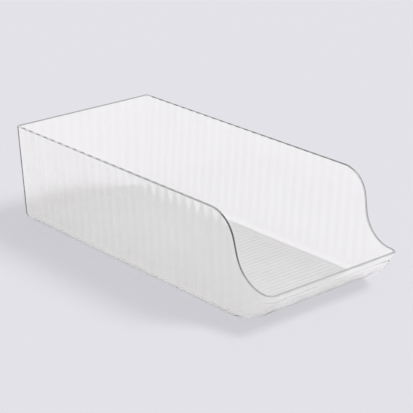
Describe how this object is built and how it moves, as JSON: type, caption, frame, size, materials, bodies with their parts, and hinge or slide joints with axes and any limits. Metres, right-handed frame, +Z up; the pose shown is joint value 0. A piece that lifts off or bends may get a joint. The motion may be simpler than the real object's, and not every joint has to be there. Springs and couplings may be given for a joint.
{
  "type": "fridge organizer",
  "caption": "Long open bin of clear plastic with fluted walls, a cross-ribbed floor and side walls that sweep down to a low curved front lip.",
  "frame": {"origin": "middle of the bin's plan outline, at the level of its flat underside", "axes": "+Y from the scooped front to the back, +Z up from the shelf, +X to the right when the front faces the viewer"},
  "size_m": [0.168, 0.367, 0.1],
  "materials": {
    "clear_plastic": "clear, polished outside"
  },
  "bodies": {
    "root": {"floor_panel": "clear_plastic", "left_floor_cove": "clear_plastic", "right_floor_cove": "clear_plastic", "back_floor_cove": "clear_plastic", "left_side_wall": "clear_plastic", "right_side_wall": "clear_plastic", "back_wall": "clear_plastic", "back_left_corner": "clear_plastic", "back_right_corner": "clear_plastic", "front_wall": "clear_plastic", "left_scoop_cheek": "clear_plastic", "right_scoop_cheek": "clear_plastic"}
  },
  "joints": []
}
